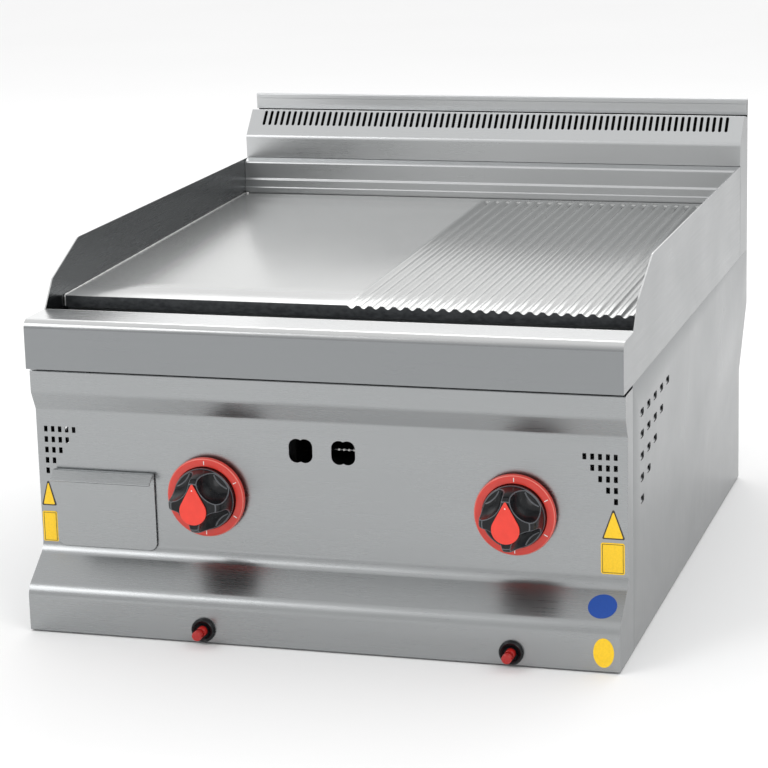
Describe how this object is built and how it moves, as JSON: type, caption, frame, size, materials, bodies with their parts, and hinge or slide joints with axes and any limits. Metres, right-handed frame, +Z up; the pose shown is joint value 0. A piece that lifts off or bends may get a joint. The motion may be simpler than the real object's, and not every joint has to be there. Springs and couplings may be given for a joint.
{
  "type": "flat top griddle",
  "caption": "Counter-top gas griddle: part-ribbed steel plate between splash guards, rear flue, grease drawer, turning knobs, igniter buttons.",
  "frame": {"origin": "middle of the bounding box in X and Y, on the plane the rubber feet stand on", "axes": "+Z up; -Y is the front with the knobs, +Y the flue; +X is the right-hand side seen from the front"},
  "size_m": [0.6, 0.769, 0.442],
  "materials": {
    "stainless": "fine brushed grain",
    "griddle_steel": "ground smooth, lightly used",
    "galvanised": "dull zinc",
    "cast_iron": "matt",
    "brass": "machined",
    "black_plastic": "gloss black",
    "red_plastic": "gloss red",
    "ceramic": "glazed off-white",
    "rubber": "matt"
  },
  "bodies": {
    "body": {"base_pan": "galvanised", "burner_left": "cast_iron", "burner_rest": "galvanised", "burner_right": "cast_iron", "combustion_box": "galvanised", "drain_spout": "stainless", "drawer_runner_left": "galvanised", "drawer_runner_right": "galvanised", "flue_back_panel": "stainless", "flue_baffle": "galvanised", "flue_cover": "stainless", "foot_front_left": "rubber", "foot_front_right": "rubber", "foot_rear_left": "rubber", "foot_rear_right": "rubber", "front_heat_shield": "galvanised", "front_nosing": "stainless", "front_panel": "stainless", "gas_inlet_nipple": "brass", "gas_manifold": "galvanised", "gas_tube_left": "brass", "gas_tube_right": "brass", "gas_valve_left": "brass", "gas_valve_right": "brass", "grease_gutter": "stainless", "griddle_plate": "griddle_steel", "igniter_bezel_left": "black_plastic", "igniter_bezel_right": "black_plastic", "igniter_body_left": "black_plastic", "igniter_body_right": "black_plastic", "injector_left": "brass", "injector_right": "brass", "left_side_panel": "stainless", "left_splash_guard": "stainless", "pilot_bracket": "galvanised", "pilot_burner_left": "brass", "pilot_burner_right": "brass", "plate_rail_left": "galvanised", "plate_rail_right": "galvanised", "rear_panel": "stainless", "rear_splashback": "stainless", "right_side_panel": "stainless", "right_splash_guard": "stainless", "spark_electrode_left": "ceramic", "spark_electrode_right": "ceramic"},
    "left_knob_push": {"spring_collar_left": "galvanised"},
    "left_knob": {"knob_skirt_left": "red_plastic", "knob_grip_left": "black_plastic", "knob_insert_left": "red_plastic", "valve_spindle_left": "galvanised"},
    "left_igniter_button": {"igniter_button_left": "red_plastic"},
    "right_knob_push": {"spring_collar_right": "galvanised"},
    "right_knob": {"knob_skirt_right": "red_plastic", "knob_grip_right": "black_plastic", "knob_insert_right": "red_plastic", "valve_spindle_right": "galvanised"},
    "right_igniter_button": {"igniter_button_right": "red_plastic"},
    "grease_drawer": {"drawer_tray": "stainless", "drawer_front": "stainless"}
  },
  "joints": [
    {"name": "left_knob_press", "type": "slide", "parent": "body", "child": "left_knob_push", "axis": [0, 1, 0], "range_m": [0, 0.004], "stiffness_N_per_m": 2500},
    {"name": "left_knob_turn", "type": "hinge", "parent": "left_knob_push", "child": "left_knob", "pos_m": [-0.12, -0.32, 0.1397], "axis": [0, -1, 0], "range_deg": [0, 180]},
    {"name": "left_igniter_press", "type": "slide", "parent": "body", "child": "left_igniter_button", "axis": [0, 1, 0], "range_m": [0, 0.005], "stiffness_N_per_m": 1500},
    {"name": "right_knob_press", "type": "slide", "parent": "body", "child": "right_knob_push", "axis": [0, 1, 0], "range_m": [0, 0.004], "stiffness_N_per_m": 2500},
    {"name": "right_knob_turn", "type": "hinge", "parent": "right_knob_push", "child": "right_knob", "pos_m": [0.192, -0.32, 0.1397], "axis": [0, -1, 0], "range_deg": [0, 180]},
    {"name": "right_igniter_press", "type": "slide", "parent": "body", "child": "right_igniter_button", "axis": [0, 1, 0], "range_m": [0, 0.005], "stiffness_N_per_m": 1500},
    {"name": "grease_drawer_slide", "type": "slide", "parent": "body", "child": "grease_drawer", "axis": [0, -1, 0], "range_m": [0, 0.26]}
  ]
}
